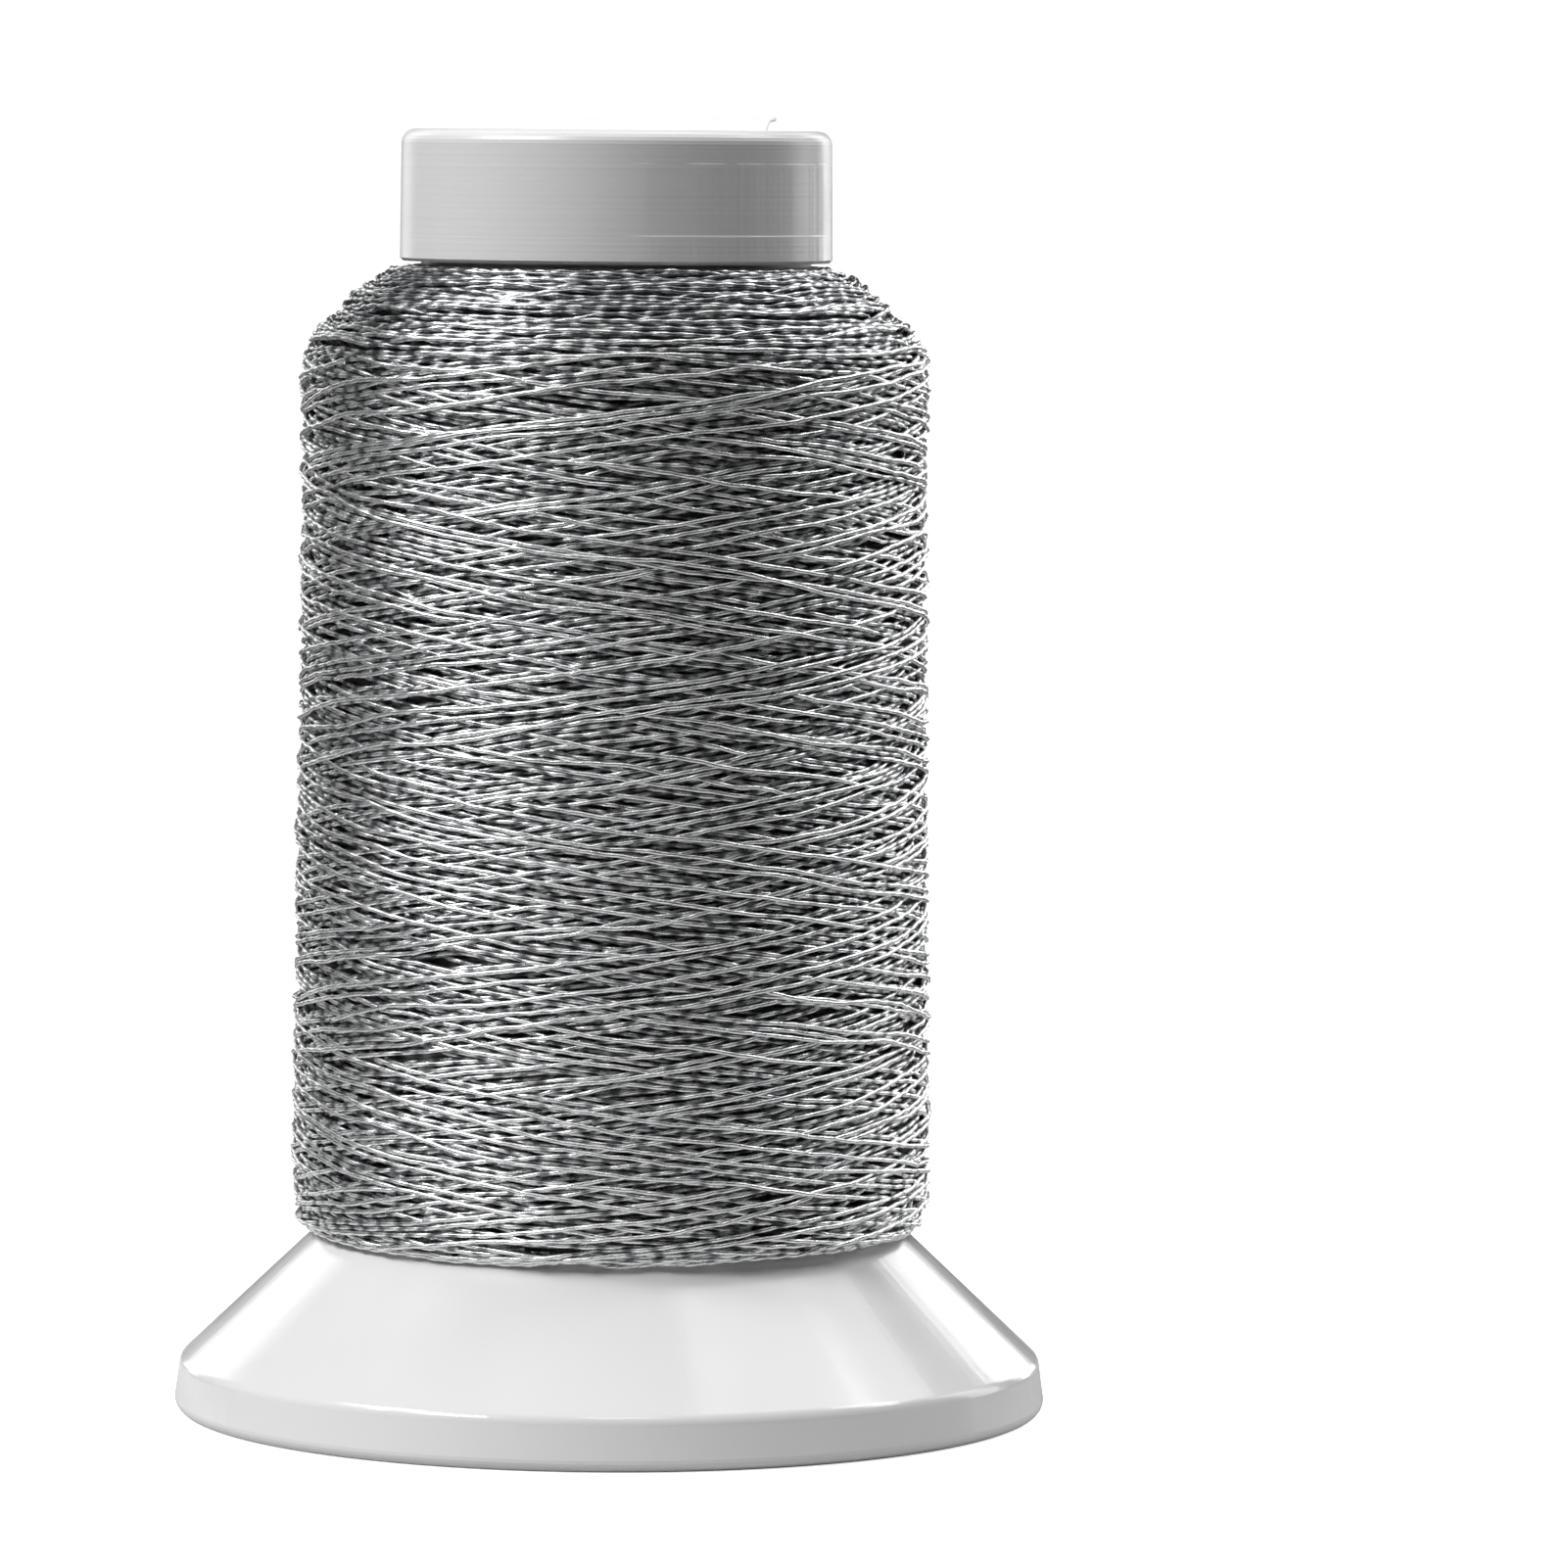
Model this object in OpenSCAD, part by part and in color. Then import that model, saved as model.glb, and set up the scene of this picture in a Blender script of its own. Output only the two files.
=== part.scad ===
// Footed thread spool: a winding barrel on a conical foot, with a lift-up snap cap that traps the
// thread's end, the wound thread, and a blank paper label in the cap's recess.
// Millimetres, +Z up. The origin is the centre of the plane that the foot stands on.

/* [Overall] */
// Height from the floor to the top of the cap
overall_h = 102.8; // [98:0.1:112]
// Diameter of the foot's rim, at its widest
foot_d = 70.1; // [66:0.1:76]

/* [Foot] */
// Height of the upright rim around the foot
rim_h = 4.1; // [3:0.1:5]
// Slope of the cone above the rim, from level
cone_angle = 43.45; // [40:0.05:46]
// Wall of the foot's shell
foot_wall = 1.8; // [1.5:0.1:2.2]
// How far the foot's spigot reaches up inside the barrel
spigot_h = 11.7; // [10:0.1:14]
// Number of stiffening ribs under the cone
rib_count = 8; // [6:1:12]

/* [Barrel] */
// Outside diameter of the barrel that the thread is wound on
barrel_d = 33; // [32:0.5:34]
// Wall of the barrel
barrel_wall = 1.5; // [1.2:0.1:1.8]
// Diameter of the hole for a thread stand's spindle
spindle_hole_d = 9; // [8:0.1:9.4]
// Length of the tube around that hole
spindle_tube_l = 36; // [30:1:40]

/* [Snap cap] */
// Outside diameter of the cap, at its lower edge
cap_d = 34.6; // [34.4:0.1:35]
// Height of the cap
cap_h = 10.5; // [10.3:0.1:11]
// Depth of the recess in the cap's top
recess_depth = 2.8; // [2.4:0.1:3]
// Width of the rim around that recess
cap_rim_w = 3; // [2.8:0.1:3.2]
// How far the cap lifts to let the thread's end in
cap_lift = 3.5; // [3:0.1:3.6]

/* [Thread] */
// Largest diameter of the wound thread, just above the foot
package_d = 51; // [48:0.5:54]

/* [Hidden] */
$fn = 128;

// Running gap between the cap and the barrel's neck, and the gap under the closed cap's skirt
slide_gap = 0.2;
seat_gap = 0.3;
// Gap between the cap's web and the neck, where the closed cap comes to rest
stop_gap = 0.1;
// Gaps between pieces that are assembled for good
snug_gap = 0.05;
// How far joined shapes run into each other
bite = 0.4;

foot_r = foot_d / 2;
barrel_r = barrel_d / 2;
bore_r = barrel_r - barrel_wall;
cap_r = cap_d / 2;
package_r = package_d / 2;

cap_z = overall_h - cap_h;
recess_z = overall_h - recess_depth;
web_t = 1.6;
web_z = recess_z - web_t;
recess_r = cap_r - cap_rim_w;

// The barrel steps in to a neck under the cap, and a bead on the neck runs in a groove in the cap's skirt
neck_z = cap_z - seat_gap;
neck_top_z = web_z - stop_gap;
neck_r = barrel_r - 0.9;
neck_wall = 1.5;
bead_out = 0.35;
bead_h = 0.6;
bead_z = neck_top_z - 1.3;
skirt_r = neck_r + slide_gap;
groove_r = neck_r + bead_out + slide_gap;
// The lip below the groove meets the bead when the cap is lifted all the way
lip_top_z = bead_z - cap_lift - 0.1;

rim_lean = 0.35;
rim_top_r = foot_r - rim_lean;
function cone_z(r) = rim_h + (rim_top_r - r) * tan(cone_angle);
seat_z = cone_z(barrel_r);
spigot_r = bore_r - snug_gap;
socket_r = spigot_r - 1.75;
spigot_top_z = seat_z + spigot_h;

// Points on an arc about (x, z), from angle a0 to angle a1
function arc(x, z, r, a0, a1, steps = 6) =
    [for (i = [0:steps]) let (a = a0 + (a1 - a0) * i / steps) [x + r * cos(a), z + r * sin(a)]];

// ---- Foot ----

foot_round = 1;
rim_round = 1.2;
foot_ledge = 1.9;
snap_z = spigot_top_z - 2.5;
snap_h = 1;
snap_out = 0.3;

// The shell's underside, at radius r
function under_z(r) = cone_z(r) - foot_wall / cos(cone_angle);

// Where a round of radius rim_round touches the rim and the cone
rim_turn = 90 - cone_angle;
rim_back = rim_round * tan(rim_turn / 2);

module foot_section() {
    inner_r = foot_r - foot_wall;
    ledge_z = seat_z - foot_ledge;
    ledge_r = inner_r - (ledge_z - under_z(inner_r)) / tan(cone_angle);
    polygon(concat(
        [[inner_r, 0]],
        arc(foot_r - foot_round, foot_round, foot_round, -90, 0),
        arc(rim_top_r - rim_round, rim_h - rim_back, rim_round, 0, rim_turn),
        [[barrel_r, seat_z], [spigot_r, seat_z], [spigot_r, snap_z],
         [spigot_r + snap_out, snap_z + 0.2], [spigot_r + snap_out, snap_z + snap_h - 0.5],
         [spigot_r, snap_z + snap_h], [spigot_r, spigot_top_z - 0.8], [spigot_r - 0.6, spigot_top_z],
         [socket_r, spigot_top_z], [socket_r, ledge_z], [ledge_r, ledge_z], [inner_r, under_z(inner_r)]]
    ));
}

rib_t = 1.2;
rib_depth = 3.5;
rib_in_r = 17.5;
rib_out_r = 31.5;

// A rib lies under the cone and runs a little way into its wall
module foot_rib() {
    rotate([90, 0, 0])
        translate([0, 0, -rib_t / 2])
            linear_extrude(rib_t)
                polygon([
                    [rib_in_r, under_z(rib_in_r) + bite], [rib_out_r, under_z(rib_out_r) + bite],
                    [rib_out_r, under_z(rib_out_r) - 1], [rib_in_r, under_z(rib_in_r) - rib_depth]]);
}

module foot() {
    color("white") {
        rotate_extrude()
            foot_section();
        for (i = [0:rib_count - 1])
            rotate([0, 0, (i + 0.5) * 360 / rib_count])
                foot_rib();
    }
}

// ---- Barrel ----

spindle_r = spindle_hole_d / 2;
spindle_wall = 1.5;
spindle_top_z = neck_top_z - 0.5;
spindle_z = spindle_top_z - spindle_tube_l;
end_wall_t = 2;
end_wall_z = neck_z - 6;
neck_bore_r = neck_r - neck_wall;
web_rib_count = 4;
web_rib_h = 18;

module barrel_section() {
    polygon([
        [barrel_r, seat_z], [barrel_r, neck_z - 0.3], [barrel_r - 0.3, neck_z], [neck_r, neck_z],
        [neck_r, bead_z], [neck_r + bead_out, bead_z + 0.1],
        [neck_r + bead_out, bead_z + bead_h - 0.3], [neck_r, bead_z + bead_h],
        [neck_r, neck_top_z - 0.3], [neck_r - 0.3, neck_top_z], [neck_bore_r, neck_top_z],
        [neck_bore_r, neck_z], [bore_r, neck_z - 2],
        [bore_r, snap_z + snap_h + 0.2], [bore_r + snap_out, snap_z + snap_h - 0.3],
        [bore_r + snap_out, snap_z], [bore_r, snap_z - 0.2], [bore_r, seat_z]]);
}

module spindle_tube() {
    translate([0, 0, spindle_z])
        difference() {
            cylinder(h = spindle_tube_l, r = spindle_r + spindle_wall);
            translate([0, 0, -1])
                cylinder(h = spindle_tube_l + 2, r = spindle_r);
        }
}

module end_wall() {
    translate([0, 0, end_wall_z])
        difference() {
            cylinder(h = end_wall_t, r = bore_r + bite);
            translate([0, 0, -1])
                cylinder(h = end_wall_t + 2, r = spindle_r + spindle_wall - bite);
        }
}

// A rib joins the spindle tube to the barrel under the end wall
module web_rib() {
    rib_start = spindle_r + spindle_wall - bite;
    translate([rib_start, -rib_t / 2, end_wall_z - web_rib_h])
        cube([bore_r + bite - rib_start, rib_t, web_rib_h + bite]);
}

module barrel() {
    color("whitesmoke") {
        rotate_extrude()
            barrel_section();
        spindle_tube();
        end_wall();
        for (i = [0:web_rib_count - 1])
            rotate([0, 0, (i + 0.5) * 360 / web_rib_count])
                web_rib();
    }
}

// ---- Snap cap ----

cap_round = 1.1;
cap_lean = 0.1;
recess_round = 0.5;
cap_hole_r = spindle_r + 0.5;
plug_r = neck_bore_r - slide_gap;
plug_wall = 1.4;
plug_l = 4;

module cap_section() {
    top_r = cap_r - cap_lean;
    polygon(concat(
        [[skirt_r, cap_z + 0.2], [skirt_r + 0.2, cap_z], [cap_r - 0.25, cap_z], [cap_r, cap_z + 0.25]],
        arc(top_r - cap_round, overall_h - cap_round, cap_round, 0, 90),
        arc(recess_r + recess_round, overall_h - recess_round, recess_round, 90, 180, 4),
        [[recess_r, recess_z], [cap_hole_r, recess_z], [cap_hole_r, web_z], [plug_r - plug_wall, web_z],
         [plug_r - plug_wall, web_z - plug_l], [plug_r - 0.4, web_z - plug_l], [plug_r, web_z - plug_l + 0.4],
         [plug_r, web_z], [groove_r, web_z], [groove_r, lip_top_z + 0.3], [skirt_r, lip_top_z]]
    ));
}

module snap_cap() {
    color("white")
        rotate_extrude()
            cap_section();
}

// ---- Label ----

label_t = 0.2;
label_r = recess_r - 0.35;
label_hole_r = cap_hole_r + 1;

module top_label() {
    color("ivory")
        translate([0, 0, recess_z])
            difference() {
                cylinder(h = label_t, r = label_r);
                translate([0, 0, -1])
                    cylinder(h = label_t + 2, r = label_hole_r);
            }
}

// ---- Thread ----

package_top_z = neck_z - 0.3;
package_in_r = barrel_r + snug_gap;
corner_r = 2;
corner_z = cone_z(package_r - corner_r) + corner_r + 0.4;

// The wound thread fills the space above the cone, and its upper end slopes in to the cap
module thread_package() {
    color("gray")
        rotate_extrude()
            polygon(concat(
                [[package_in_r, cone_z(package_in_r) + snug_gap],
                 [package_r - 1.5, cone_z(package_r - 1.5) + snug_gap]],
                arc(package_r - corner_r, corner_z, corner_r, -40, 0),
                [[package_r - 0.5, package_top_z - 28], [package_r - 0.7, package_top_z - 16],
                 [package_r - 0.4, package_top_z - 9], [package_r - 0.6, package_top_z - 7],
                 [package_r - 1.2, package_top_z - 5.4], [package_r - 4.3, package_top_z - 2.4],
                 [package_r - 5.4, package_top_z - 1.3], [package_r - 6.8, package_top_z - 0.6],
                 [package_r - 8.1, package_top_z], [package_in_r, package_top_z]]
            ));
}

barrel();
foot();
snap_cap();
top_label();
thread_package();
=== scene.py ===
import math

import bpy
import numpy as np
from mathutils import Matrix, Vector


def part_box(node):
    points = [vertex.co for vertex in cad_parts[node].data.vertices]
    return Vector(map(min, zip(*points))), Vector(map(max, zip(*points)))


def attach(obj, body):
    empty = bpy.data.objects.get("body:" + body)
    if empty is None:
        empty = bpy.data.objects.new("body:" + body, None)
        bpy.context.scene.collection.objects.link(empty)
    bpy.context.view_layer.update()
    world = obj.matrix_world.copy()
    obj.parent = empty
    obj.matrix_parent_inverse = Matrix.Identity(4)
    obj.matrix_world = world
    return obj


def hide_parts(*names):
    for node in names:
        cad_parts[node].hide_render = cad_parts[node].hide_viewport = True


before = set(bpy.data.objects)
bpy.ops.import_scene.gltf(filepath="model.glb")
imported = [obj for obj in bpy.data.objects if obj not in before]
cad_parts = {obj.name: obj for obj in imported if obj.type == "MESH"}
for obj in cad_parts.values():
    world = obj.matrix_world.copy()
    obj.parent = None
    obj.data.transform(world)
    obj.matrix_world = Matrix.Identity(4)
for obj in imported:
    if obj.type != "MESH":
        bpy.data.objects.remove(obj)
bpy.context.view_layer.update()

# The winding is worked out in millimetres and turned into metres when its meshes are made.
MM = 0.001

foot_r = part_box("foot")[1].x
cap_low, cap_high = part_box("snap_cap")
package_low, package_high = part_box("thread_package")
label_low, label_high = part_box("top_label")
spool_h = cap_high.z


# ---- Camera ----

CAMERA_DISTANCE = 19.23     # in foot radii, from the spool's axis
CAMERA_HEIGHT = 0.992       # in spool heights
CAMERA_LENS = 193.1
LOOK_DOWN = math.radians(4.368)
LOOK_RIGHT = math.radians(1.167)
CAMERA_ROLL = math.radians(-0.434)


def make_camera():
    data = bpy.data.cameras.new("camera")
    data.lens = CAMERA_LENS
    data.sensor_width = 36
    data.clip_start = 0.01
    data.clip_end = 50
    camera = bpy.data.objects.new("camera", data)
    bpy.context.scene.collection.objects.link(camera)
    camera.location = (0, -CAMERA_DISTANCE * foot_r, CAMERA_HEIGHT * spool_h)
    level = math.cos(LOOK_DOWN)
    ahead = Vector((math.sin(LOOK_RIGHT) * level, math.cos(LOOK_RIGHT) * level, -math.sin(LOOK_DOWN)))
    turn = ahead.to_track_quat("-Z", "Y")
    roll = Matrix.Rotation(CAMERA_ROLL, 3, ahead).to_quaternion()
    camera.rotation_mode = "QUATERNION"
    camera.rotation_quaternion = roll @ turn
    bpy.context.scene.camera = camera


make_camera()


# ---- Node helpers ----

def new_material(name):
    material = bpy.data.materials.new(name)
    material.use_nodes = True
    tree = material.node_tree
    return material, tree, tree.nodes["Principled BSDF"]


def add_node(tree, kind, inputs=None, **settings):
    """A node with its settings. Each input is linked to the socket or set to the value it is given."""
    node = tree.nodes.new(kind)
    for key, value in settings.items():
        setattr(node, key, value)
    for key, value in (inputs or {}).items():
        if isinstance(value, bpy.types.NodeSocket):
            tree.links.new(value, node.inputs[key])
        else:
            node.inputs[key].default_value = value
    return node


def math_node(tree, operation, *values):
    inputs = dict(enumerate(values))
    return add_node(tree, "ShaderNodeMath", inputs, operation=operation).outputs[0]


def ramp(tree, value, low, high, to_low=0.0, to_high=1.0):
    """value mapped smoothly from low..high to to_low..to_high."""
    inputs = {"Value": value, "From Min": low, "From Max": high, "To Min": to_low, "To Max": to_high}
    node = add_node(tree, "ShaderNodeMapRange", inputs, interpolation_type="SMOOTHSTEP")
    return node.outputs["Result"]


def mix_colour(tree, factor, first, second):
    node = add_node(tree, "ShaderNodeMix", {"Factor": factor}, data_type="RGBA")
    for socket, value in ((node.inputs[6], first), (node.inputs[7], second)):
        if isinstance(value, bpy.types.NodeSocket):
            tree.links.new(value, socket)
        else:
            socket.default_value = (*value, 1)
    return node.outputs[2]


def noise(tree, vector, scale, detail=2.0, roughness=0.5):
    inputs = {"Vector": vector, "Scale": scale, "Detail": detail, "Roughness": roughness}
    return add_node(tree, "ShaderNodeTexNoise", inputs).outputs["Fac"]


def bump(tree, height, distance, strength=1.0, normal=None):
    inputs = {"Height": height, "Distance": distance, "Strength": strength}
    if normal is not None:
        inputs["Normal"] = normal
    return add_node(tree, "ShaderNodeBump", inputs).outputs["Normal"]


def around_axis(tree):
    """Sockets for the point, the angle round the spool's axis, in turns, and the height, in metres."""
    point = add_node(tree, "ShaderNodeTexCoord").outputs["Object"]
    x, y, z = add_node(tree, "ShaderNodeSeparateXYZ", {0: point}).outputs
    angle = math_node(tree, "DIVIDE", math_node(tree, "ARCTAN2", y, x), math.tau)
    return point, angle, z


def vector(tree, **parts):
    """A vector from sockets or values for X, Y and Z."""
    return add_node(tree, "ShaderNodeCombineXYZ", parts).outputs[0]


def scaled(tree, value, factor):
    return math_node(tree, "MULTIPLY", value, factor)


# ---- Plastic ----

PEEL_DEPTH = 0.00001        # of the orange-peel texture, in metres
DRAG_DEPTH = 0.00005        # of the lines down the foot


def moulded_plastic(name, grey, roughness):
    """White polypropylene: faint cloudy shade, fine orange-peel texture and small changes in gloss."""
    material, tree, shader = new_material(name)
    point, angle, height = around_axis(tree)
    cloud = noise(tree, point, 40, 1)
    shade = mix_colour(tree, ramp(tree, cloud, 0.3, 0.7), (grey * 0.985,) * 3, (grey,) * 3)
    tree.links.new(shade, shader.inputs["Base Color"])
    gloss = ramp(tree, noise(tree, point, 220, 4), 0.3, 0.7, roughness - 0.02, roughness + 0.03)
    tree.links.new(gloss, shader.inputs["Roughness"])
    peel = bump(tree, noise(tree, point, 900, 2), PEEL_DEPTH)
    tree.links.new(peel, shader.inputs["Normal"])
    shader.inputs["IOR"].default_value = 1.49
    return material, tree, shader, angle, height, peel


def set_material(thing, material):
    thing.data.materials.clear()
    thing.data.materials.append(material)


def foot_plastic():
    """The foot has drag lines from the mould, straight down the slope of its cone."""
    material, tree, shader, angle, height, peel = moulded_plastic("foot_plastic", 0.77, 0.13)
    down = vector(tree, X=scaled(tree, angle, 60.0), Y=height)
    fine = noise(tree, down, 9, 3, 0.6)
    coarse = noise(tree, down, 1.6, 2)
    lines = math_node(tree, "ADD", scaled(tree, fine, 0.35), coarse)
    tree.links.new(bump(tree, lines, DRAG_DEPTH, 0.6, peel), shader.inputs["Normal"])
    return material


# Two fine ledges round the cap, where parts of its mould met: height, step, and how broken each is.
LEDGES = ((cap_low.z + 0.00225, 0.00007, 0.0), (cap_high.z - 0.0026, 0.00005, 1.0))
LEDGE_W = 0.00009       # half the width of a ledge's slope
LEDGE_SIDE = -50 / 360  # the ledges are plain there and on the far side, and fade in between


def cap_plastic():
    """The cap has faint rings, where its mould was turned and where the parts of the mould met."""
    material, tree, shader, angle, height, peel = moulded_plastic("cap_plastic", 0.75, 0.3)
    around = vector(tree, X=angle, Y=scaled(tree, height, 3000.0))
    normal = bump(tree, noise(tree, around, 1.0, 3, 0.6), 0.00004, 0.5, peel)
    side = scaled(tree, math_node(tree, "SUBTRACT", angle, LEDGE_SIDE), 2 * math.tau)
    plain = ramp(tree, math_node(tree, "COSINE", side), 0.2, 0.6)
    for level, step, broken in LEDGES:
        ledge = ramp(tree, height, level - LEDGE_W, level + LEDGE_W, 1.0, 0.0)
        part = vector(tree, X=scaled(tree, angle, 26.0), Y=level)
        worn = ramp(tree, noise(tree, part, 1.0, 3), 0.4, 0.6, 1.0 - broken, 1.0)
        ledge = scaled(tree, scaled(tree, ledge, worn), plain)
        normal = bump(tree, ledge, step, 1.0, normal)
    tree.links.new(normal, shader.inputs["Normal"])
    return material


set_material(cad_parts["foot"], foot_plastic())
set_material(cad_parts["snap_cap"], cap_plastic())
set_material(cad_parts["barrel"], moulded_plastic("barrel_plastic", 0.74, 0.4)[0])


# ---- The winding's outline ----

OUTLINE_STEP = 0.08     # between two points of the finished outline
OUTLINE_BLUR = 0.7      # how far the outline's corners are rounded


def package_outline():
    """The outside of the wound thread, from under its lower corner up to the neck: radius, height, and the
    outward direction in the radius and height, one row each OUTLINE_STEP."""
    r, top, low = package_high.x / MM, package_high.z / MM, package_low.z / MM
    corners = np.array([
        (r - 2.6, low + 1.3), (r - 1.5, low + 0.25), (r - 0.8, low + 0.4), (r - 0.35, low + 1.2),
        (r, low + 2.9), (r, low + 10),
        (r - 0.5, top - 28), (r - 0.65, top - 16), (r - 0.4, top - 9), (r - 0.6, top - 7),
        (r - 1.2, top - 5.4), (r - 4.3, top - 2.4), (r - 5.4, top - 1.3), (r - 6.6, top - 0.5),
        (r - 7.6, top + 0.05), (r - 9, top + 0.3)])
    length = np.concatenate([[0], np.cumsum(np.linalg.norm(np.diff(corners, axis=0), axis=1))])
    at = np.arange(0, length[-1], OUTLINE_STEP)
    line = np.stack([np.interp(at, length, corners[:, i]) for i in (0, 1)], 1)
    reach = int(2.5 * OUTLINE_BLUR / OUTLINE_STEP)
    weights = np.exp(-0.5 * (np.arange(-reach, reach + 1) * OUTLINE_STEP / OUTLINE_BLUR) ** 2)
    padded = np.pad(line, ((reach, reach), (0, 0)), mode="reflect", reflect_type="odd")
    line = np.stack([np.convolve(padded[:, i], weights / weights.sum(), "valid") for i in (0, 1)], 1)
    along = np.gradient(line, axis=0)
    along /= np.linalg.norm(along, axis=1, keepdims=True)
    return np.hstack([line, np.stack([along[:, 1], -along[:, 0]], 1)])


outline = package_outline()
OUTLINE_END = (len(outline) - 1) * OUTLINE_STEP


# ---- The path of the thread ----

THREAD_R = 0.18         # radius of the thread as it lies on others
ANGLE_CELLS = 768       # samples round one turn
CELL_ANGLE = math.tau / ANGLE_CELLS
TRAVERSES = 80          # strokes up and back down
LAPS = 8                # whole turns in one traverse
LAP_SHIFT = 0.3         # how far each traverse lands beside the last, in radians
TURN_ROUND = 4.0        # how gently a stroke turns back
FIRST_LOW = 1.2         # where the first stroke starts, along the outline
TOP_MARGIN = 0.8        # between the first traverse's upper end and the outline's end
SHORTENED = 9.3         # how much lower the last traverse turns back than the first
rng = np.random.default_rng(73)


def smooth_noise(count, reach, size):
    """A row of random numbers that drifts, with the given spread."""
    rough = rng.normal(size=count + 2 * reach)
    window = np.hanning(2 * reach + 3)[1:-1]
    drift = np.convolve(rough, window / np.sqrt((window ** 2).sum()), "valid")
    return drift[:count] * size


def traverse(turned, rise):
    """Distance along the outline at each angle of a stroke that starts and ends level and rises by rise."""
    half = abs(rise) / 2
    slope = 2 / turned[-1] * math.sqrt(half * half + 2 * half * TURN_ROUND)
    from_start = np.hypot(TURN_ROUND, slope * turned) - TURN_ROUND
    from_end = np.hypot(TURN_ROUND, slope * (turned[-1] - turned)) - TURN_ROUND
    return np.sign(rise) * np.where(turned < turned[-1] / 2, from_start, abs(rise) - from_end)


def thread_path():
    """The whole path of the thread, as angle cells and distances along the outline."""
    cells, places = [], []
    at = 0
    low_turn = FIRST_LOW
    for number in range(TRAVERSES):
        built = number / TRAVERSES
        high_turn = OUTLINE_END - TOP_MARGIN - SHORTENED * built + rng.uniform(-0.9, 0.9)
        next_low = 0.9 + 1.6 * rng.random() + 1.2 * rng.random() ** 4
        high_dwell = math.tau * rng.uniform(0.35, 0.85)
        low_dwell = math.tau * rng.uniform(0.15, 0.45)
        total = math.tau * LAPS + LAP_SHIFT * rng.uniform(0.6, 1.4)
        stroke = (total - high_dwell - low_dwell) / 2
        moves = ((low_turn, high_turn, stroke), (high_turn, high_turn, high_dwell),
                 (high_turn, next_low, stroke), (next_low, next_low, low_dwell))
        for start, end, angle in moves:
            count = round(angle / CELL_ANGLE)
            turned = np.arange(count + 1) * CELL_ANGLE
            place = start + (traverse(turned, end - start) if end != start else 0 * turned)
            cells.append(at + np.arange(count))
            places.append(place[:-1])
            at += count
        low_turn = next_low
    return np.concatenate(cells), np.concatenate(places)


# ---- Laying the thread, each turn on what is already there ----

BEND_REACH = 7          # angle cells over which the thread bridges a dip
SLIP_REACH = 18         # angle cells over which it slips sideways as one
SLIPS = np.arange(-5, 6)    # how many outline steps it may slip
SLIP_COST = 0.004       # what a slip counts against a lower place to lie
SINK = 0.05             # how deep a turn beds into the turns below it


def windowed(values, reach, method):
    """The mean or the highest, as the method says, of each value and its neighbours along the first axis."""
    widths = ((reach, reach),) + ((0, 0),) * (values.ndim - 1)
    padded = np.pad(values, widths, mode="edge")
    return method(np.lib.stride_tricks.sliding_window_view(padded, 2 * reach + 1, axis=0), axis=-1)


def lay_thread(relief, cells, place):
    """How high the thread's centre lies along its path and how far it slipped. relief grows as it is laid."""
    reach = int(THREAD_R / OUTLINE_STEP)
    offsets = np.arange(-reach, reach + 1)
    bulge = np.sqrt(THREAD_R ** 2 - (offsets * OUTLINE_STEP) ** 2)
    rows = np.rint(place / OUTLINE_STEP).astype(int)
    columns = cells % ANGLE_CELLS
    last_row = relief.shape[1] - 1
    block, ahead = ANGLE_CELLS // 2, 2 * SLIP_REACH
    contact = np.zeros((len(cells), len(SLIPS)))
    heights, slipped = np.zeros(len(cells)), np.zeros(len(cells))
    known = 0
    for start in range(0, len(cells), block):
        end = min(start + block, len(cells))
        new = slice(known, min(end + ahead, len(cells)))
        for number, slip in enumerate(SLIPS):
            near = np.clip(rows[new, None] + slip + offsets, 0, last_row)
            contact[new, number] = (relief[columns[new, None], near] + bulge).max(1)
        known = new.stop
        first = max(start - ahead, 0)
        around = contact[first:known]
        cost = windowed(around, SLIP_REACH, np.mean) + SLIP_COST * SLIPS ** 2
        slip = windowed(SLIPS[cost.argmin(1)].astype(float), SLIP_REACH, np.mean)
        chosen = around[np.arange(len(around)), np.rint(slip).astype(int) - SLIPS[0]]
        centre = windowed(windowed(chosen, BEND_REACH, np.max), BEND_REACH, np.mean) - SINK
        part = slice(start - first, end - first)
        heights[start:end], slipped[start:end] = centre[part], slip[part]
        near = np.rint(place[start:end] / OUTLINE_STEP + slip[part]).astype(int)[:, None] + offsets
        near = np.clip(near, 0, last_row)
        column = columns[start:end, None]
        relief[column, near] = np.maximum(relief[column, near], centre[part, None] + bulge)
    return heights, slipped * OUTLINE_STEP


relief = np.zeros((ANGLE_CELLS, len(outline)))
path_cells, path_place = thread_path()
path_place = path_place + smooth_noise(len(path_place), 12, 0.03) + smooth_noise(len(path_place), 60, 0.06)
path_height, path_slip = lay_thread(relief, path_cells, path_place)
path_place = path_place + path_slip


def blurred(surface, sigma_cells, sigma_rows):
    """A surface round the package, smoothed both ways."""
    around = np.fft.rfftfreq(ANGLE_CELLS)[:, None]
    smooth = np.fft.rfft(surface, axis=0) * np.exp(-2 * (math.pi * around * sigma_cells) ** 2)
    surface = np.fft.irfft(smooth, ANGLE_CELLS, axis=0)
    reach = int(3 * sigma_rows)
    weights = np.exp(-0.5 * (np.arange(-reach, reach + 1) / sigma_rows) ** 2)
    padded = np.pad(surface, ((0, 0), (reach, reach)), mode="edge")
    return np.apply_along_axis(np.convolve, 1, padded, weights / weights.sum(), "valid")


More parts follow.
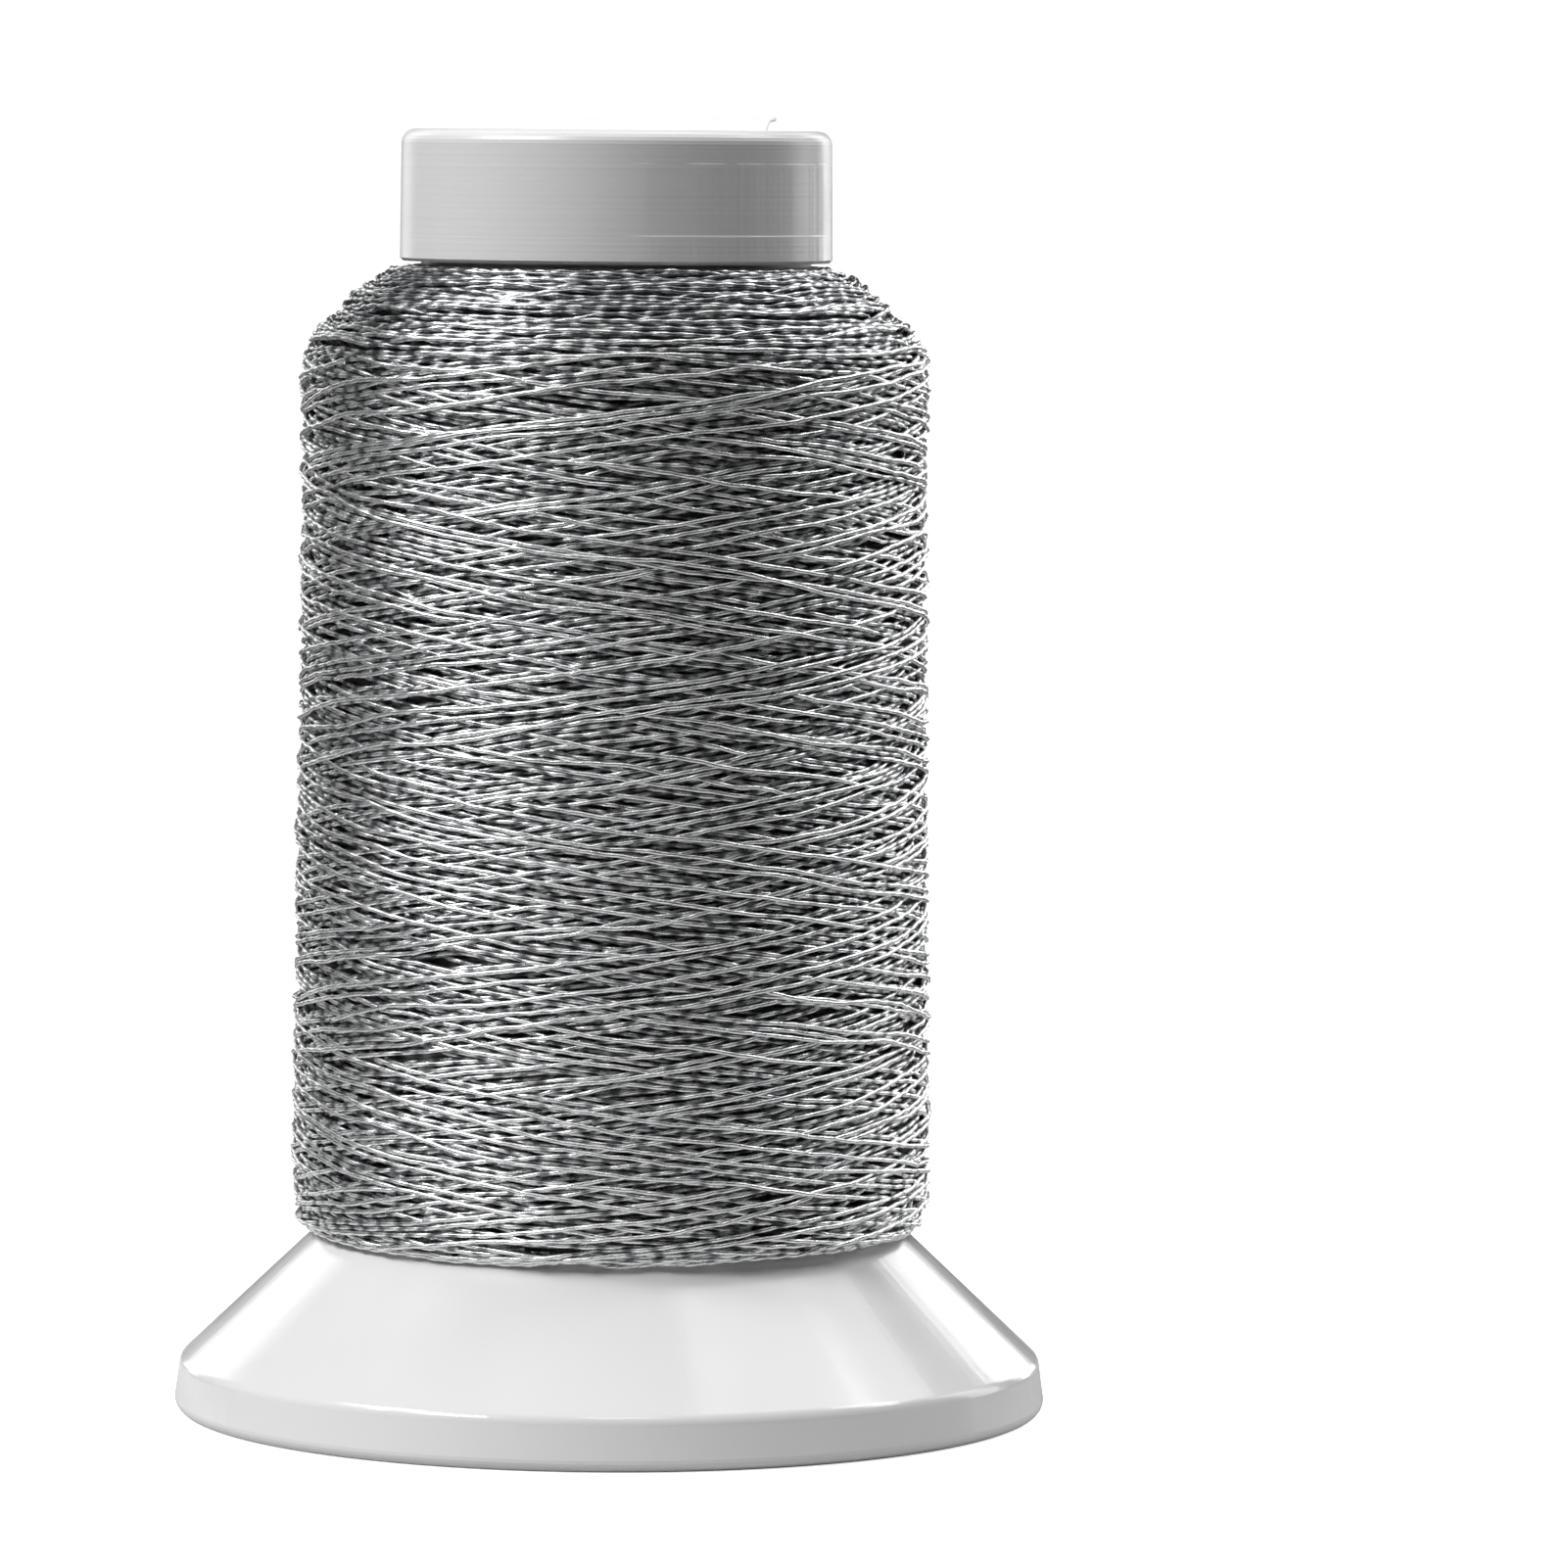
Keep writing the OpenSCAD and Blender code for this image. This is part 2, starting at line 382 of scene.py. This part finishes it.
# The package's outline runs through the tops of the outer turns, whatever lies beneath them.
EVEN_OVER = 0.6         # swells wider than this are evened out, in millimetres
CELL_ACROSS = 0.2       # roughly the width of an angle cell on the package, in millimetres
ABOVE_MEAN = 0.12       # from the smoothed surface to the tops of the turns
PROUD = -0.15           # height of a turn's middle, from the outline, where it starts to stand out
PRESSED_TO = 0.5        # share of its standing out that is left once it is pressed in
envelope = blurred(relief, EVEN_OVER / CELL_ACROSS, EVEN_OVER / OUTLINE_STEP) + ABOVE_MEAN


def at_surface(surface, cells, place):
    """Values of a surface at angle cells and distances along the outline."""
    row = np.clip(place / OUTLINE_STEP, 0, len(outline) - 1.001)
    low = row.astype(int)
    share = row - low
    column = cells % ANGLE_CELLS
    return surface[column, low] * (1 - share) + surface[column, low + 1] * share


def pressed(rise):
    """Heights from the outline, with the turns that stand out pressed in among the others."""
    return np.where(rise > PROUD, PROUD + (rise - PROUD) * PRESSED_TO, rise)


def on_package(cells, place, height):
    """Points in metres, and outward directions, at angle cells, distances along the outline and heights."""
    index = np.arange(len(outline))
    radius, level, out_r, out_z = (np.interp(place / OUTLINE_STEP, index, outline[:, i]) for i in range(4))
    rise = pressed(height - at_surface(envelope, cells, place))
    radius, level = radius + out_r * rise, level + out_z * rise
    angle = cells * CELL_ANGLE
    points = np.stack([radius * np.cos(angle), radius * np.sin(angle), level], -1) * MM
    outward = np.stack([out_r * np.cos(angle), out_r * np.sin(angle), out_z], -1)
    return points, outward


# ---- Meshes ----

def mesh_object(name, points, quads, uvs=None, body="spool"):
    """A smooth mesh piece from arrays of points and four-sided faces, with UV layers by name."""
    mesh = bpy.data.meshes.new(name)
    mesh.vertices.add(len(points))
    mesh.vertices.foreach_set("co", points.astype(np.float32).ravel())
    mesh.loops.add(quads.size)
    mesh.loops.foreach_set("vertex_index", quads.astype(np.int32).ravel())
    mesh.polygons.add(len(quads))
    mesh.polygons.foreach_set("loop_start", np.arange(0, quads.size, 4, dtype=np.int32))
    mesh.polygons.foreach_set("use_smooth", np.ones(len(quads), bool))
    for layer_name, pairs in (uvs or {}).items():
        layer = mesh.uv_layers.new(name=layer_name)
        layer.data.foreach_set("uv", pairs.astype(np.float32).ravel())
    mesh.update(calc_edges=True)
    thing = bpy.data.objects.new(name, mesh)
    bpy.context.scene.collection.objects.link(thing)
    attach(thing, body)
    return thing


def grid_quads(rows, columns, wrap_rows=False):
    """Corner numbers of the faces between rows of points that each go once round."""
    row = np.arange(rows if wrap_rows else rows - 1)[:, None] * columns
    above = (row + columns) % (rows * columns)
    column = np.arange(columns)[None, :]
    right = (column + 1) % columns
    return np.stack([row + column, row + right, above + right, above + column], -1).reshape(-1, 4)


# ---- The thread's tubes ----

PLY_LENGTH = 4.2        # length in which the two plies go once round each other
PLY_R = 0.195           # from the thread's middle to the outside of a ply
SIDES = 8
TUBE_STEP = 2           # angle cells between two rings of a tube
RING_SHAPE = np.array([1, 0.92, 0.82, 0.92, 1, 0.92, 0.82, 0.92])
BEAD = 0.13             # how much the thread swells where one ply crosses the other
TWIST_REACH = 110       # rings over which the twist runs tighter or looser
TWIST_SPREAD = 0.55     # how far it gets ahead or behind, in turns
ROUGH_REACH = 3         # rings over which the thickness wavers
ROUGH_SPREAD = 0.04
PAINTED_LIGHT_FROM = -0.08     # height of a turn's middle from which it gets painted light all along it: brighter film, for the light that turns standing out catch
PAINTED_LIGHT_SPAN = 0.2       # how much higher its painted light is full
PAINTED_SHOULDER_SHADE = 1.15   # painted shade: how far the film of a turn that faces up, on the shoulders, is kept from bright
HIDDEN_UNDER = 0.1      # how deep under later turns the thread is left out
END_QUADS = np.array([(0, 1, 2, 3), (0, 3, 4, 7), (7, 4, 5, 6)])    # these close the end of a tube
PIECE_FACES = 70000     # a piece is closed once it has this many
LONGEST = 2800          # rings in one stretch of tube; a longer one goes on as another stretch


def showing():
    """Which samples of the path have nothing more than a trace of later turns over them."""
    reach = int(THREAD_R / OUTLINE_STEP)
    clear = np.zeros(len(path_cells), bool)
    for offset in range(-reach, reach + 1):
        bulge = math.sqrt(THREAD_R ** 2 - (offset * OUTLINE_STEP) ** 2)
        over = at_surface(relief, path_cells, path_place + offset * OUTLINE_STEP) - path_height - bulge
        clear |= over < HIDDEN_UNDER
    return windowed(clear, 5, np.max)


def thread_rings(keep):
    """Rings of points round the thread at the kept samples, its twist there, in turns, and its painted light
    and
    shade: brighter film where the turn stands out, darker where it faces up."""
    cells, place, height = path_cells[keep], path_place[keep], path_height[keep]
    centre, outward = on_package(cells, place, height)
    along = np.gradient(centre, axis=0)
    side = np.cross(along, outward)
    side /= np.linalg.norm(side, axis=1, keepdims=True)
    steps = np.linalg.norm(np.diff(centre, axis=0), axis=1) / MM
    twist = np.concatenate([[0], np.cumsum(steps)]) / PLY_LENGTH
    twist = twist + smooth_noise(len(keep), TWIST_REACH, TWIST_SPREAD)
    swell = 1 + BEAD * np.cos(2 * math.tau * twist) + smooth_noise(len(keep), ROUGH_REACH, ROUGH_SPREAD)
    turn = math.tau * (np.arange(SIDES) / SIDES - twist[:, None])
    ring = np.cos(turn)[..., None] * outward[:, None] + np.sin(turn)[..., None] * side[:, None]
    size = PLY_R * MM * RING_SHAPE * swell[:, None]
    rise = height - at_surface(envelope, cells, place)
    # painted light: a turn that stands out is given brighter film, for the light it catches
    shine = np.clip((rise - PAINTED_LIGHT_FROM) / PAINTED_LIGHT_SPAN, 0, 1)
    # painted shade: a turn that faces up, on the shoulders, is given darker film
    shine = shine - PAINTED_SHOULDER_SHADE * np.maximum(outward[:, 2], 0)
    return centre[:, None] + ring * size[..., None], twist, shine


def tube_faces(first, last, twist, shine):
    """Faces of one stretch of thread, from ring first to ring last, closed at both ends, and four values at
    each corner for two UV layers: the twist and the place round the thread, and the painted light and shade."""
    count = last - first + 1
    side = np.tile(np.arange(SIDES), count - 1)
    wall = grid_quads(count, SIDES)
    u = twist[first + wall // SIDES]
    v = np.stack([side, side + 1, side + 1, side], -1) / SIDES
    ends = np.concatenate([END_QUADS[:, ::-1], END_QUADS + (count - 1) * SIDES])
    end_u = twist[first + ends // SIDES]
    quads = np.concatenate([wall, ends])
    around = np.concatenate([v, ends % SIDES / SIDES])
    corner_painted_light_and_shade = shine[first + quads // SIDES]
    return quads, np.stack([np.concatenate([u, end_u]), around, corner_painted_light_and_shade, np.zeros_like(corner_painted_light_and_shade)], -1)


def winding_pieces():
    """The stretches of thread that show, in pieces of a handy size, from the inner turns to the outer."""
    keep = np.arange(0, len(path_cells), TUBE_STEP)
    points, twist, shine = thread_rings(keep)
    shown = showing()[keep]
    edges = np.flatnonzero(np.diff(np.concatenate([[0], shown.astype(int), [0]])))
    stretches = [(start, min(start + LONGEST, end - 1))
                 for first, end in edges.reshape(-1, 2) for start in range(first, end - 3, LONGEST)]
    pieces, quads, uvs, rings, used = [], [], [], [], 0
    for number, (first, last) in enumerate(stretches):
        stretch_quads, stretch_uvs = tube_faces(first, last, twist, shine)
        quads.append(stretch_quads + used * SIDES)
        uvs.append(stretch_uvs)
        rings.append(points[first:last + 1])
        used += last - first + 1
        if used * SIDES > PIECE_FACES or number == len(stretches) - 1:
            name = f"thread_winding_{len(pieces) + 1}"
            values = np.concatenate(uvs)
            layers = {"ply": values[..., :2], "shine": values[..., 2:]}
            piece_points = np.concatenate(rings).reshape(-1, 3)
            piece = mesh_object(name, piece_points, np.concatenate(quads), layers)
            pieces.append(piece)
            quads, uvs, rings, used = [], [], [], 0
    return pieces


PACKAGE_INNER = 0.0166  # inner radius of the layer under the turns, just outside the barrel, in metres
UNDER_START = 0.007     # where it starts there, above the package's lowest point, in metres
UNDER_BY = 0.06         # how far it lies below the lowest turn nearby, in millimetres
ROW_STEP, COLUMN_STEP = 4, 3


def under_layer():
    """What shows in the gaps: the surface a little below the turns, as one solid round the barrel."""
    low = relief
    for shift in range(-ROW_STEP, ROW_STEP + 1):
        low = np.minimum(low, np.roll(relief, shift, axis=1))
    low = low - UNDER_BY
    rows = np.arange(0, len(outline), ROW_STEP)
    cells = np.arange(0, ANGLE_CELLS, COLUMN_STEP)
    cell, row = np.meshgrid(cells, rows)
    points, _ = on_package(cell.ravel(), row.ravel() * OUTLINE_STEP, low[cell, row].ravel())
    points = points.reshape(len(rows), len(cells), 3)
    inner = PACKAGE_INNER / np.linalg.norm(points[..., :2], axis=-1, keepdims=True)
    bottom, top = points[:1].copy(), points[-1:].copy()
    bottom[..., :2] *= inner[:1]
    bottom[..., 2] = package_low.z + UNDER_START
    top[..., :2] *= inner[-1:]
    points = np.concatenate([bottom, points, top])
    quads = grid_quads(len(points), len(cells), wrap_rows=True)
    return mesh_object("thread_under_layer", points.reshape(-1, 3), quads)


DARK_BELOW, BRIGHT_ABOVE = -0.6, 0.8    # from dark yarn to bright film, as the film value rises; it holds painted highlights, light and shade


def silver_thread():
    """Dark grey yarn with bright film round it, with painted light and shade in its colour. The film comes
    to the front twice in a turn of the plies, in dashes that lie on the thread's swells and also paint the
    highlight those swells catch; it is brighter all along where the thread stands out and darker where it
    faces up. The groove where the plies meet is darkened with painted shade, and fine streaks run round with
    the twist."""
    material, tree, shader = new_material("silver_thread")
    uv = add_node(tree, "ShaderNodeUVMap", uv_map="ply").outputs["UV"]
    along, around, _ = add_node(tree, "ShaderNodeSeparateXYZ", {0: uv}).outputs
    turn = scaled(tree, around, math.tau)
    across, up = math_node(tree, "COSINE", turn), math_node(tree, "SINE", turn)
    # painted shade: the colour darkens in the groove where the plies meet
    groove = ramp(tree, math_node(tree, "ABSOLUTE", across), -0.1, 0.35)
    coil = vector(tree, X=scaled(tree, along, 5.0), Y=scaled(tree, across, 2.0), Z=scaled(tree, up, 2.0))
    streak = noise(tree, coil, 1.0, 3, 0.6)
    painted_light_and_shade_uv = add_node(tree, "ShaderNodeUVMap", uv_map="shine").outputs["UV"]
    shine = add_node(tree, "ShaderNodeSeparateXYZ", {0: painted_light_and_shade_uv}).outputs[0]
    # painted highlight: the film's dashes come twice in a turn of the plies, on the thread's swells
    film = math_node(tree, "COSINE", scaled(tree, along, 2 * math.tau))
    film = math_node(tree, "ADD", film, scaled(tree, streak, 1.2))
    # painted light and shade, per turn: brighter where the turn stands out, darker where it faces up
    film = math_node(tree, "ADD", film, scaled(tree, shine, 1.3))
    tone = scaled(tree, groove, ramp(tree, film, DARK_BELOW, BRIGHT_ABOVE))
    colour = mix_colour(tree, tone, (0.21, 0.215, 0.225), (0.95, 0.955, 0.96))
    tree.links.new(colour, shader.inputs["Base Color"])
    shader.inputs["Metallic"].default_value = 0.92
    rough = ramp(tree, streak, 0.3, 0.7, 0.34, 0.24)
    tree.links.new(rough, shader.inputs["Roughness"])
    stretched = add_node(tree, "ShaderNodeVectorMath", {0: coil, 1: (3.0, 1.0, 1.0)}, operation="MULTIPLY")
    crinkle = noise(tree, stretched.outputs[0], 1.0, 2, 0.5)
    tree.links.new(bump(tree, crinkle, 0.000012, 1.0), shader.inputs["Normal"])
    return material


def under_painted_shade_material():
    """The turns that show through gaps: darkened with painted shade, in short dashes round the package."""
    material, tree, shader = new_material("under_thread_painted_shade")
    point, angle, height = around_axis(tree)
    dashes = vector(tree, X=scaled(tree, angle, 95.0), Y=scaled(tree, height, 2600.0))
    shade = noise(tree, dashes, 1.0, 2)
    # painted shade: the gaps' turns are given far darker colour than the thread above them
    colour = mix_colour(tree, ramp(tree, shade, 0.45, 0.62), (0.04, 0.042, 0.045), (0.2, 0.2, 0.21))
    tree.links.new(colour, shader.inputs["Base Color"])
    shader.inputs["Roughness"].default_value = 0.6
    tree.links.new(bump(tree, shade, 0.0001), shader.inputs["Normal"])
    return material


def wind_thread():
    """All the thread that shows, in place of the plain CAD solid."""
    silver = silver_thread()
    pieces = winding_pieces()
    for piece in pieces:
        set_material(piece, silver)
    layer = under_layer()
    set_material(layer, under_painted_shade_material())
    for piece in pieces + [layer]:
        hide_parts("thread_package")


wind_thread()


# ---- Label ----

LABEL_HOLE_R = 5.9
LABEL_T = 0.18
LABEL_LIFT = 0.03                   # of the flat side, off the recess's floor
LABEL_RINGS, LABEL_SPOKES = 28, 144
PEEL_TOWARDS = math.radians(40)     # the loose side of the label, from +X
PEEL_START = 2.0                    # how far from the axis the paper leaves the recess's floor
PEEL_LENGTH = 7.0                   # of the stretch that bends up and level again
PEEL_SLOPE = 1.17                   # the steepest slope there, in radians
WAVY_FROM = 3.5                     # how far up the loose side is as wavy as it gets


def peel_curve(across):
    """Where the paper at each distance towards the loose side comes to: distance, height and slope."""
    along = np.linspace(0, PEEL_LENGTH, 200)
    slope = PEEL_SLOPE * np.sin(math.pi * along / PEEL_LENGTH) ** 2
    step = along[1]
    reach, rise = np.cumsum(np.cos(slope)) * step, np.cumsum(np.sin(slope)) * step
    past = across - PEEL_START
    after = np.maximum(past - PEEL_LENGTH, 0)
    moved = np.where(past > 0, PEEL_START + np.interp(past, along, reach) + after, across)
    lifted = np.where(past > 0, np.interp(past, along, rise), 0)
    return moved, lifted, np.where(past > 0, np.interp(past, along, slope, right=0), 0)


def label_points():
    """Points of the label's upper and lower faces: a flat ring of paper, bent up along one line."""
    turn = np.arange(LABEL_SPOKES) * math.tau / LABEL_SPOKES
    radius = np.linspace(LABEL_HOLE_R, label_high.x / MM, LABEL_RINGS)
    r, a = np.meshgrid(radius, turn - PEEL_TOWARDS, indexing="ij")
    moved, lifted, slope = peel_curve(r * np.cos(a))
    side = r * np.sin(a)
    loose = np.clip(lifted / WAVY_FROM, 0, 1)
    waves = 0.1 * np.sin(side * 0.55 + 0.6) + 0.05 * np.sin(moved * 1.1 + side * 0.9)
    lifted = lifted + loose * waves
    faces = []
    for depth in (LABEL_T, 0):
        p, height = moved - depth * np.sin(slope), lifted + depth * np.cos(slope)
        x = p * math.cos(PEEL_TOWARDS) - side * math.sin(PEEL_TOWARDS)
        y = p * math.sin(PEEL_TOWARDS) + side * math.cos(PEEL_TOWARDS)
        faces.append(np.stack([x, y, label_low.z / MM + LABEL_LIFT + height], -1).reshape(-1, 3))
    return np.concatenate(faces) * MM


def coated_paper():
    """White paper with a faint mottle and a smooth, slightly pitted coat."""
    material, tree, shader = new_material("coated_paper")
    point = add_node(tree, "ShaderNodeTexCoord").outputs["Object"]
    pulp = noise(tree, point, 1500, 4, 0.6)
    shade = mix_colour(tree, ramp(tree, pulp, 0.3, 0.7), (0.84, 0.84, 0.83), (0.9, 0.9, 0.89))
    tree.links.new(shade, shader.inputs["Base Color"])
    tree.links.new(ramp(tree, pulp, 0.3, 0.7, 0.4, 0.55), shader.inputs["Roughness"])
    tree.links.new(bump(tree, pulp, 0.00002), shader.inputs["Normal"])
    return material


def paper_label():
    """The label in the cap's recess, with one side come loose and standing up past the rim."""
    count = LABEL_RINGS * LABEL_SPOKES
    face = grid_quads(LABEL_RINGS, LABEL_SPOKES)
    spoke = np.arange(LABEL_SPOKES)
    after = (spoke + 1) % LABEL_SPOKES
    last = count - LABEL_SPOKES
    inner_wall = np.stack([spoke, after, after + count, spoke + count], -1)
    outer_wall = np.stack([spoke + last, spoke + last + count, after + last + count, after + last], -1)
    quads = np.concatenate([face[:, ::-1], face + count, inner_wall, outer_wall])
    thing = mesh_object("paper_label", label_points(), quads, body="cap")
    set_material(thing, coated_paper())
    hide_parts("top_label")


paper_label()


# ---- Floor and light ----

FLOOR_HALF = 3.0
LIGHT_TARGET = Vector((0, 0, spool_h / 2))


def make_floor():
    """A white floor that throws back less light than it shows, so that the spool's sides keep their shade."""
    corners = [(x * FLOOR_HALF, y * FLOOR_HALF, 0) for x, y in ((-1, -1), (1, -1), (1, 1), (-1, 1))]
    mesh = bpy.data.meshes.new("floor")
    mesh.from_pydata(corners, [], [(0, 1, 2, 3)])
    floor = bpy.data.objects.new("floor", mesh)
    bpy.context.scene.collection.objects.link(floor)
    material, tree, shader = new_material("pale_floor")
    seen = add_node(tree, "ShaderNodeLightPath").outputs["Is Camera Ray"]
    point = add_node(tree, "ShaderNodeTexCoord").outputs["Object"]
    away = add_node(tree, "ShaderNodeVectorMath", {0: point}, operation="LENGTH").outputs["Value"]
    bounce = mix_colour(tree, ramp(tree, away, 0.05, 0.16), (0.55, 0.55, 0.55), (0.1, 0.1, 0.1))
    tree.links.new(mix_colour(tree, seen, bounce, (0.97, 0.97, 0.97)), shader.inputs["Base Color"])
    glow = math_node(tree, "MULTIPLY", seen, ramp(tree, away, 0.05, 0.4, 0.75, 1.05))
    shader.inputs["Emission Color"].default_value = (1, 1, 1, 1)
    tree.links.new(glow, shader.inputs["Emission Strength"])
    shader.inputs["Roughness"].default_value = 0.9
    shader.inputs["Specular IOR Level"].default_value = 0.0
    mesh.materials.append(material)


def soft_box(name, place, size, power):
    """A rectangular light that faces the spool's middle and doesn't show itself."""
    data = bpy.data.lights.new(name, "AREA")
    data.shape = "RECTANGLE"
    data.size, data.size_y = size
    data.energy = power
    light = bpy.data.objects.new(name, data)
    bpy.context.scene.collection.objects.link(light)
    light.location = place
    light.rotation_mode = "QUATERNION"
    light.rotation_quaternion = (LIGHT_TARGET - Vector(place)).to_track_quat("-Z", "Y")
    light.visible_camera = False


RING_R, RING_Z = 1.1, 0.35      # of the upright boxes, from the spool's axis and the floor
KEY_DISTANCE = 1.25             # of the small high boxes, from a point just above the floor
KEY_Z = 0.05


def ring_box(azimuth, power):
    """An upright soft box a little above the spool. Azimuth 0 is behind the camera, 90 to the right."""
    angle = math.radians(azimuth)
    place = (RING_R * math.sin(angle), -RING_R * math.cos(angle), RING_Z)
    soft_box(f"ring_box_{azimuth % 360}", place, (0.35, 0.7), power)


def key_box(azimuth, rise, power):
    """A small bright box, at an angle above the horizon, that draws a fine highlight along each turn."""
    angle, rise = math.radians(azimuth), math.radians(rise)
    level = KEY_DISTANCE * math.cos(rise)
    place = (level * math.sin(angle), -level * math.cos(angle), KEY_Z + KEY_DISTANCE * math.sin(rise))
    soft_box(f"key_box_{azimuth % 360}", place, (0.35, 0.35), power)


def make_world():
    """A white background that lights the spool only a little."""
    world = bpy.data.worlds.new("studio")
    bpy.context.scene.world = world
    world.use_nodes = True
    tree = world.node_tree
    background = tree.nodes["Background"]
    seen = add_node(tree, "ShaderNodeLightPath").outputs["Is Camera Ray"]
    tree.links.new(ramp(tree, seen, 0, 1, 0.02, 1.05), background.inputs["Strength"])
    background.inputs["Color"].default_value = (1, 1, 1, 1)


make_floor()
make_world()
soft_box("top_box", (0, 0.02, 1.2), (0.8, 0.8), 1.3)
soft_box("wide_top_box", (0, 0.02, 1.2), (1.5, 1.5), 1.2)
soft_box("upper_right_box", (0.46, 0.31, 1.0), (0.6, 0.85), 3.6)
soft_box("upper_left_box", (-0.42, 0.30, 0.87), (0.22, 0.22), 0.5)
for azimuth, rise, power in ((-50, 42, 7.8), (-78, 42, 7.0), (5, 60, 1.5), (100, 45, 3.0)):
    key_box(azimuth, rise, power)
for azimuth, power in ((118, 2.2), (150, 2.6), (-150, 1.3)):
    ring_box(azimuth, power)
bpy.context.scene.view_settings.view_transform = "Standard"
